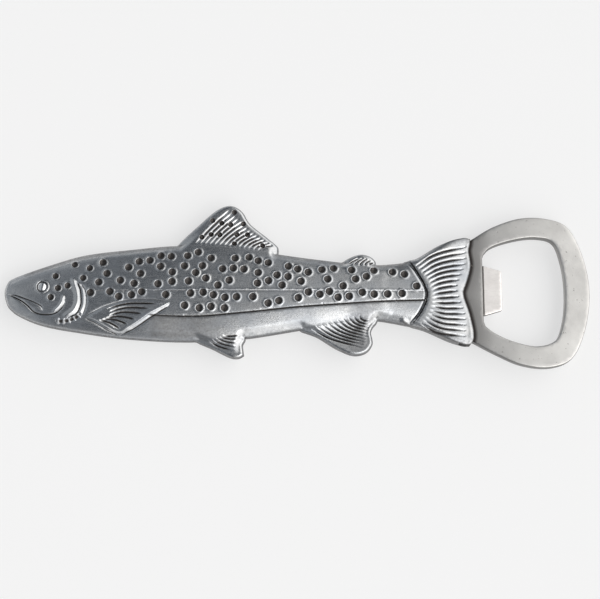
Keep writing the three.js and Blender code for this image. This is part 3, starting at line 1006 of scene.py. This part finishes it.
def make_opener_frame():
    # a smooth curve may pass the CAD's own limits by a hair, so it is held inside them
    loop = np.clip(smooth(LOOP_OUTSIDE, 0.5), station_height(opener_low), station_height(opener_high))
    tang = tang_loop(0, ROOT_START)[::-1]
    outer = np.vstack([loop, [(ROOT_START, ROOT_LOW)], tang, [(ROOT_START, ROOT_HIGH)]])
    straight = [(OPENING_START, y) for y in range(OPENING_HALF, -OPENING_HALF, -1)]
    inner = np.vstack([smooth(LOOP_INSIDE, 0.5), straight])
    # points beside the tail's edge, fine enough for the warm tarnish and the tail's painted shadow on the
    # frame
    beside = np.vstack(offset_rows(OUTLINE, [-INWARD * d for d in TARNISH_AND_SHADOW_ROWS], closed=True))
    beside = beside[(beside[:, 0] > TARNISH_AND_SHADOW_START) & (outline_gap(beside) > 0.02)]
    obj = rounded_plate("opener_loop", outer, [inner], -FRAME_HALF, FRAME_HALF, FRAME_EDGE,
                        finer=beside)
    cutters = [prism("cut_lip", lip_loop(CLEARANCE), -3, LIP_TOP + CLEARANCE)]
    for node in ("tang_pin_fore", "tang_pin_aft"):
        cutters.append(prism("cut_" + node, node_circle(node, CLEARANCE)[0], -DEEP, DEEP))
    cut(obj, *cutters)
    local = fish_coords(obj.data)[:, :2]
    gap = np.where(inside(local, OUTLINE), 0, outline_gap(local))
    gap[local[:, 0] < ROOT_START] = 0
    keep_values(obj.data, "tail_gap", gap)
    finish_piece(obj, "opener_frame")
    return obj


def make_lip():
    obj = rounded_plate("lip", lip_loop(), [], -FRAME_HALF, LIP_TOP, LIP_EDGE, steps=3, fill=0.9)
    cut(obj, prism("cut_pin", node_circle("tang_pin_aft", CLEARANCE)[0], -DEEP, DEEP))
    finish_piece(obj, "cap_lip")
    return obj


BEAD_PROUD = 0.12  # how far the bead covers the rim of its socket
BEAD_DOME = 0.36  # share of the bead's length that is domed
BEAD_SHANK = 0.6  # radius of its shank, in radii of the bead
BEAD_COLLAR = (0.42, 0.43)  # where its length widens from the shank
BEAD_SIDES = 40
DOME_STEPS = 8
DOME_ANGLE = math.radians(86)


def make_eye(name, node, side):
    """A bead with a domed top and a round shank, turned about its own axis."""
    low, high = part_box(node)
    centre = (low + high) / 2
    radius = (high.x - low.x) / 2 + BEAD_PROUD * MM
    base = low.z if side > 0 else high.z
    tall = high.z - low.z
    shank = BEAD_SHANK * radius
    rings = [(shank, 0.0), (shank, BEAD_COLLAR[0] * tall), (radius, BEAD_COLLAR[1] * tall)]
    for k in range(DOME_STEPS + 1):
        angle = k / DOME_STEPS * DOME_ANGLE
        rise = (1 - BEAD_DOME) + BEAD_DOME * math.sin(angle)
        rings.append((radius * math.cos(angle), rise * tall))
    n = BEAD_SIDES
    verts = [(*p, base + side * z) for r, z in rings for p in circle(np.array(centre.xy), r, n)]
    faces = bands(0, n, len(rings))
    last = (len(rings) - 1) * n
    verts.append((centre.x, centre.y, base + side * tall))
    faces += [(last + k, last + (k + 1) % n, len(verts) - 1) for k in range(n)]
    faces.append(tuple(range(n))[::-1])
    if side < 0:
        faces = [f[::-1] for f in faces]
    obj = new_object(name, verts, faces)
    finish_piece(obj, node)
    return obj


# ---- materials ----


class Graph:
    """A tree of shader nodes, with a helper for each kind of step."""

    def __init__(self, tree):
        self.tree = tree

    def wire(self, node, inputs):
        """Sets or links a node's inputs, given by name or number. A tuple is a colour."""
        for key, value in inputs.items():
            if isinstance(value, bpy.types.NodeSocket):
                self.tree.links.new(value, node.inputs[key])
            else:
                node.inputs[key].default_value = (*value, 1.0) if isinstance(value, tuple) else value
        return node.outputs

    def node(self, kind, inputs, **settings):
        made = self.tree.nodes.new(kind)
        for key, value in settings.items():
            setattr(made, key, value)
        return self.wire(made, inputs)

    def split(self, vector):
        """The X, Y and Z of a vector."""
        return self.node("ShaderNodeSeparateXYZ", {"Vector": vector})

    def spread(self, source, low, high, to_low=0.0, to_high=1.0, **settings):
        """A value stretched from one range to another, and held there."""
        return self.node("ShaderNodeMapRange", {
            "Value": source, "From Min": low, "From Max": high, "To Min": to_low, "To Max": to_high,
        }, **settings)["Result"]

    def math(self, operation, a, b):
        return self.node("ShaderNodeMath", {0: a, 1: b}, operation=operation)[0]

    def blend(self, factor, a, b):
        """A colour between a and b."""
        return self.node("ShaderNodeMix", {0: factor, 6: a, 7: b}, data_type="RGBA")[2]


class Metal(Graph):
    """A metal material with procedural textures, in millimetres."""

    def __init__(self, name):
        self.material = bpy.data.materials.new(name)
        self.material.use_nodes = True
        super().__init__(self.material.node_tree)
        self.coords = self.node("ShaderNodeTexCoord", {})["Object"]

    def noise(self, stretch, detail=4.0, roughness=0.55):
        """Noise whose features repeat stretch times per millimetre along X, Y and Z."""
        scaled = self.node("ShaderNodeMapping", {"Vector": self.coords, "Scale": [k / MM for k in stretch]})
        return self.node("ShaderNodeTexNoise", {
            "Vector": scaled["Vector"], "Scale": 1.0, "Detail": detail, "Roughness": roughness})["Fac"]

    def kept(self, name):
        """A value kept at the vertices."""
        return self.node("ShaderNodeAttribute", {}, attribute_name=name)["Fac"]

    def wall(self, low_side, other):
        """How much painted shade an upright surface gets, where it faces the belly's side and elsewhere."""
        normal = self.split(self.node("ShaderNodeNewGeometry", {})["Normal"])
        upright = self.spread(self.math("ABSOLUTE", normal["Z"], 0), 0.85, 0.45)
        return self.math("MULTIPLY", upright, self.spread(normal["Y"], -0.1, -0.6, other, low_side))

    def finish(self, colour, roughness, relief, depth):
        """The material, with relief too fine for the mesh, its depth in millimetres."""
        bump = self.node("ShaderNodeBump", {"Distance": depth * MM, "Height": relief})
        self.wire(self.tree.nodes["Principled BSDF"], {
            "Metallic": 1.0, "Base Color": colour, "Roughness": roughness, "Normal": bump["Normal"]})
        return self.material


def antiqued_pewter():
    """Bright rubbed metal with brown-black patina left in the grooves and spots, and painted shade on the
    flank's edges, shoulders and belly.
    """
    m = Metal("antiqued_pewter")
    # the kept patina, with painted shade in it
    patina_and_shade_kept = m.kept("patina_and_shade")
    cloud = m.noise((0.09, 0.16, 0.2), detail=5)
    speck = m.noise((1.6, 1.6, 1.6), detail=3)
    streak = m.noise((0.35, 5.0, 2.0), detail=3)
    rubbed = m.blend(m.spread(cloud, 0.35, 0.68), (0.63, 0.635, 0.64), (0.44, 0.46, 0.49))
    mottle = m.noise((0.5, 0.7, 0.6), detail=4)
    mottled = m.blend(m.spread(mottle, 0.42, 0.7, 0.0, 0.35), rubbed, (0.36, 0.37, 0.385))
    stained = m.blend(m.spread(speck, 0.55, 0.8, 0.0, 0.25), mottled, (0.25, 0.24, 0.23))
    dark = m.blend(m.spread(speck, 0.3, 0.7), (0.040, 0.038, 0.038), (0.11, 0.10, 0.095))
    edge = m.math("ADD", patina_and_shade_kept, m.spread(speck, 0.3, 0.7, -0.12, 0.12))
    amount = m.spread(edge, 0.12, 0.8)
    satin = m.math("ADD", m.spread(cloud, 0.3, 0.7, 0.21, 0.31),
                   m.spread(streak, 0.3, 0.7, -0.03, 0.04))
    rough = m.math("ADD", satin, m.spread(amount, 0, 1, 0, 0.2))
    grain = m.math("ADD", m.spread(speck, 0, 1, 0, 0.6), m.spread(streak, 0, 1, 0, 0.4))
    return m.finish(m.blend(amount, stained, dark), rough, grain, 0.03)


def satin_casting():
    """Tumbled light grey casting with small pits, a warm tarnish near the fish's tail, the tail's painted
    shadow along its edge and painted shade on its upright walls.
    """
    m = Metal("satin_casting")
    cloud = m.noise((0.12, 0.12, 0.2), detail=5)
    grain = m.noise((3.0, 3.0, 3.0), detail=4, roughness=0.65)
    pit_noise = m.noise((1.3, 1.3, 1.3), detail=1.5)
    pits = m.spread(pit_noise, 0.69, 0.75)
    gap = m.kept("tail_gap")
    ragged = m.math("ADD", gap, m.spread(cloud, 0.3, 0.7, -0.5, 0.5))
    plain = m.blend(m.spread(cloud, 0.3, 0.7), (0.74, 0.73, 0.71), (0.57, 0.56, 0.545))
    warm = m.blend(m.spread(ragged, 0.8, 7.0, 0.95, 0.0), plain, (0.13, 0.115, 0.105))
    # greyer over the 32 mm of the frame nearest the fish
    darker_near_fish = m.blend(m.spread(gap, 1.0, 32.0, 0.7, 0.0), warm, (0.28, 0.28, 0.28))
    # a near-black line along the tail's edge: the tail's painted shadow on the frame, and the patina in the
    # joint
    joint_line_and_shadow = m.blend(m.spread(gap, 0.55, 1.5, 0.95, 0.0), darker_near_fish, (0.032, 0.028, 0.026))
    # painted shade on upright walls, most where they face the belly's side
    wall_shaded = m.blend(m.wall(0.85, 0.5), joint_line_and_shadow, (0.14, 0.135, 0.13))
    colour = m.blend(m.math("MULTIPLY", pits, 0.5), wall_shaded, (0.22, 0.20, 0.18))
    rough = m.math("ADD", m.spread(cloud, 0.3, 0.7, 0.36, 0.44),
                   m.spread(grain, 0.3, 0.7, -0.04, 0.05))
    return m.finish(colour, rough, m.math("SUBTRACT", m.spread(grain, 0, 1, 0, 0.35), pits), 0.05)


def brushed_steel(name, light, shade, roughness, lines=(0.5, 7.0, 3.0), dark_from=None):
    """Steel with fine rubbing lines. Where dark_from is set, painted shade lies just past that X, as if
    cast by the frame's wall, and painted shade darkens the upright walls.
    """
    m = Metal(name)
    cloud = m.noise((0.3, 0.3, 0.3), detail=4)
    line = m.noise(lines, detail=3)
    colour = m.blend(m.spread(cloud, 0.35, 0.65), light, shade)
    colour = m.blend(m.spread(line, 0.55, 0.8, 0.0, 0.3), colour, (0.4, 0.38, 0.36))
    if dark_from is not None:
        x = m.split(m.coords)["X"]
        # painted shade on the lip just past its root, as if cast by the frame's wall
        root_shade = m.spread(x, dark_from + 0.45 * MM, dark_from + 0.75 * MM, 0.95, 0.0)
        colour = m.blend(root_shade, colour, (0.05, 0.045, 0.042))
        # painted shade on upright walls, most where they face the belly's side
        colour = m.blend(m.wall(0.95, 0.6), colour, (0.10, 0.095, 0.09))
    rough = m.math("ADD", m.spread(line, 0.3, 0.7, roughness - 0.05, roughness + 0.06),
                   m.spread(cloud, 0.3, 0.7, -0.02, 0.02))
    return m.finish(colour, rough, line, 0.015)


def dress(obj, material):
    obj.data.materials.clear()
    obj.data.materials.append(material)


# ---- building ----
pewter = antiqued_pewter()
front_flank = make_flank()
back_flank = mirrored_flank(front_flank)
for flank, flank_node in ((front_flank, "front_flank"), (back_flank, "back_flank")):
    dress(flank, pewter)
    finish_piece(flank, flank_node)
dress(make_opener_frame(), satin_casting())
lip_root = NOSE.x + OPENING_START * MM
lip_steel = brushed_steel("lip_steel", (0.90, 0.87, 0.85), (0.82, 0.79, 0.77), 0.36,
                          dark_from=lip_root)
dress(make_lip(), lip_steel)
bead = brushed_steel("polished_bead", (0.82, 0.83, 0.84), (0.74, 0.75, 0.77), 0.12, (3.0, 3.0, 3.0))
dress(make_eye("eye_bead_front", "front_eye", 1), bead)
dress(make_eye("eye_bead_back", "back_eye", -1), bead)
pin_steel = brushed_steel("pin_steel", (0.60, 0.61, 0.62), (0.52, 0.53, 0.54), 0.35, (4.0, 4.0, 0.6))
for pin_node in ("tang_pin_fore", "tang_pin_aft", "head_dowel", "body_dowel"):
    dress(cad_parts[pin_node], pin_steel)

# ---- floor, light and colour ----
FLOOR_SIZE = 3.0
FLOOR_BASE = 0.4
FLOOR_GLOW = 0.54
FLOOR_ROUGHNESS = 0.9


def make_floor():
    half = FLOOR_SIZE / 2
    corners = [(-half, -half, 0), (half, -half, 0), (half, half, 0), (-half, half, 0)]
    obj = new_object("floor", corners, [(0, 1, 2, 3)])
    material = bpy.data.materials.new("floor")
    material.use_nodes = True
    Graph(material.node_tree).wire(material.node_tree.nodes["Principled BSDF"], {
        "Base Color": (FLOOR_BASE, FLOOR_BASE, FLOOR_BASE), "Roughness": FLOOR_ROUGHNESS,
        "Specular IOR Level": 0.0, "Emission Color": (1, 1, 1), "Emission Strength": FLOOR_GLOW})
    obj.data.materials.append(material)
    obj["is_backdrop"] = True


def make_light(name, where, size, radiance):
    """A soft box that faces the object."""
    data = bpy.data.lights.new(name, "AREA")
    data.shape = "RECTANGLE"
    data.size, data.size_y = size
    data.energy = radiance * math.pi * size[0] * size[1]
    light = add(name, data)
    light.location = where
    light.rotation_euler = (-Vector(where)).to_track_quat("-Z", "Y").to_euler()


# How bright the studio is overhead, from the left, as the X of a direction and a colour.
OVERHEAD = ((-0.38, (0.40, 0.42, 0.44)), (-0.28, (0.22, 0.24, 0.265)), (-0.20, (0.035, 0.045, 0.06)),
            (-0.08, (0.025, 0.035, 0.05)), (0.01, (0.32, 0.33, 0.34)), (0.11, (0.64, 0.64, 0.63)),
            (0.30, (1.65, 1.63, 1.60)))
FORWARD_SHARE = -0.15  # how much the brightness overhead follows the Y of a direction
FLAT_Y = 0.2  # the Y of the direction that a level surface reflects
NEAR_HORIZON = (0.55, 0.55, 0.55)
FAR_HORIZON = (0.34, 0.36, 0.38)
HORIZON_TOP = 0.42  # the sine of the elevation where the bright horizon ends
HORIZON_FULL = 0.02  # and of that where it is at its full strength
NEAR_Y = -0.6  # the Y of a direction where the near horizon starts to give way
FAR_Y = 0.4


def make_world():
    """A grey studio: bright low down in front, dark overhead on the left, light on the right."""
    world = bpy.data.worlds.new("studio")
    world.use_nodes = True
    g = Graph(world.node_tree)
    direction = g.split(g.node("ShaderNodeTexCoord", {})["Generated"])
    forward = g.math("MULTIPLY", g.math("SUBTRACT", direction["Y"], FLAT_Y), FORWARD_SHARE)
    ramp = g.tree.nodes.new("ShaderNodeValToRGB")
    ramp.color_ramp.interpolation = "EASE"
    stops = ramp.color_ramp.elements
    while len(stops) < len(OVERHEAD):
        stops.new(0.5)  # each is moved to its own place below
    for stop, (where, colour) in zip(stops, OVERHEAD):
        stop.position = (where + 1) / 2
        stop.color = (*colour, 1)
    overhead = g.wire(ramp, {"Fac": g.spread(g.math("ADD", direction["X"], forward), -1, 1)})["Color"]
    low = g.spread(direction["Z"], HORIZON_TOP, HORIZON_FULL, interpolation_type="SMOOTHSTEP")
    horizon = g.blend(g.spread(direction["Y"], NEAR_Y, FAR_Y), NEAR_HORIZON, FAR_HORIZON)
    g.wire(g.tree.nodes["Background"], {"Color": g.blend(low, overhead, horizon)})
    bpy.context.scene.world = world


make_floor()
make_world()
make_light("softbox_right", (0.32, -0.42, 0.95), (0.55, 0.6), 1.2)
bpy.context.scene.view_settings.view_transform = "Standard"

[[list(corner) for corner in box] for box in (CAD_BOX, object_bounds())]
